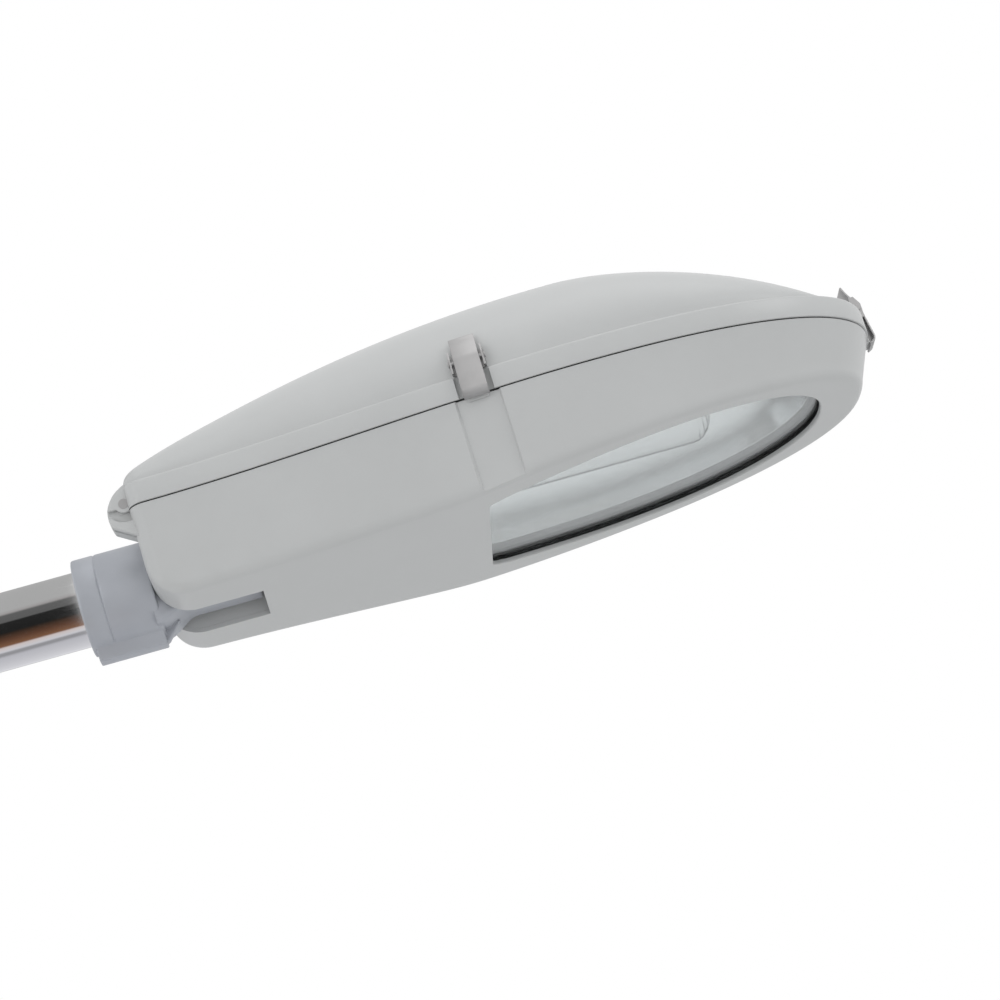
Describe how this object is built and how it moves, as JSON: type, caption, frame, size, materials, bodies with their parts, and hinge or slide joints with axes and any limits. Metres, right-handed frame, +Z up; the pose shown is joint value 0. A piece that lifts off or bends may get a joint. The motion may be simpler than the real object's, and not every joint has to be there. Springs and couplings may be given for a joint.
{
  "type": "street light",
  "caption": "Road lantern on a straight arm tube: cast housing with a glazed opening underneath, hinged domed cover held by spring catches.",
  "frame": {"origin": "centre of the arm tube's free end", "axes": "+X along the arm tube to the lantern's nose, +Y to the lantern's left, +Z up"},
  "size_m": [0.7951, 0.2808, 0.1908],
  "materials": {
    "chromed_tube": "bright chrome plate on a steel tube",
    "cast_bracket": "bare cast aluminium, slightly bluish",
    "coated_casting": "light grey powder coat on cast aluminium",
    "zinc_steel": "zinc plated",
    "stainless": "satin stainless steel",
    "black_rubber": "matt black",
    "lens_glass": "clear toughened glass",
    "lamp_glass": "clear lamp glass",
    "reflector_sheet": "brightened and anodised sheet",
    "arc_ceramic": "white translucent ceramic",
    "brass_cap": "nickel plated brass",
    "porcelain": "white glazed porcelain",
    "iron_core": "varnished iron laminations",
    "copper_winding": "enamelled copper winding in varnish",
    "capacitor_can": "drawn aluminium can",
    "white_plastic": "ivory moulded plastic"
  },
  "bodies": {
    "housing": {"arm_tube": "chromed_tube", "spigot_bracket": "cast_bracket", "clamp_screws": "zinc_steel", "bracket_bolts": "zinc_steel", "bolt_washers": "zinc_steel", "lower_body": "coated_casting", "cable_grommet": "black_rubber", "rim_seal": "black_rubber", "lens_glass": "lens_glass", "lens_seal": "black_rubber", "lens_clips": "stainless", "lens_clip_screws": "zinc_steel", "reflector": "reflector_sheet", "reflector_screws": "zinc_steel", "lamp_bulb": "lamp_glass", "lamp_stem": "lamp_glass", "lamp_frame": "stainless", "arc_tube": "arc_ceramic", "lamp_cap": "brass_cap", "lampholder": "porcelain", "lampholder_bracket": "zinc_steel", "holder_screws": "zinc_steel", "gear_tray": "zinc_steel", "tray_screws": "zinc_steel", "ballast_core": "iron_core", "ballast_winding": "copper_winding", "capacitor": "capacitor_can", "capacitor_clip": "zinc_steel", "ignitor": "white_plastic", "ignitor_clip": "zinc_steel", "terminal_block": "white_plastic", "terminal_screws": "zinc_steel", "cable_clamp": "white_plastic", "cable_clamp_screws": "zinc_steel", "hinge_pins": "stainless"},
    "cover": {"cover": "coated_casting", "latch_bracket_right": "stainless", "latch_bracket_left": "stainless", "latch_bracket_nose": "stainless", "latch_pin_right": "stainless", "latch_pin_left": "stainless", "latch_pin_nose": "stainless"},
    "strap_right": {"latch_strap_right": "stainless"},
    "strap_left": {"latch_strap_left": "stainless"},
    "strap_nose": {"latch_strap_nose": "stainless"}
  },
  "joints": [
    {"name": "cover_hinge", "type": "hinge", "parent": "housing", "child": "cover", "pos_m": [0.189, 0, 0.0445], "axis": [0, -1, 0], "range_deg": [0, 85]},
    {"name": "strap_right_pivot", "type": "hinge", "parent": "cover", "child": "strap_right", "pos_m": [0.46701, -0.13203, 0.0665], "axis": [-0.9925, 0.1222, 0], "range_deg": [0, 7]},
    {"name": "strap_left_pivot", "type": "hinge", "parent": "cover", "child": "strap_left", "pos_m": [0.46701, 0.13203, 0.0665], "axis": [0.9925, 0.1222, 0], "range_deg": [0, 7]},
    {"name": "strap_nose_pivot", "type": "hinge", "parent": "cover", "child": "strap_nose", "pos_m": [0.7879, 0, 0.0665], "axis": [0, -1, 0], "range_deg": [0, 7]}
  ]
}
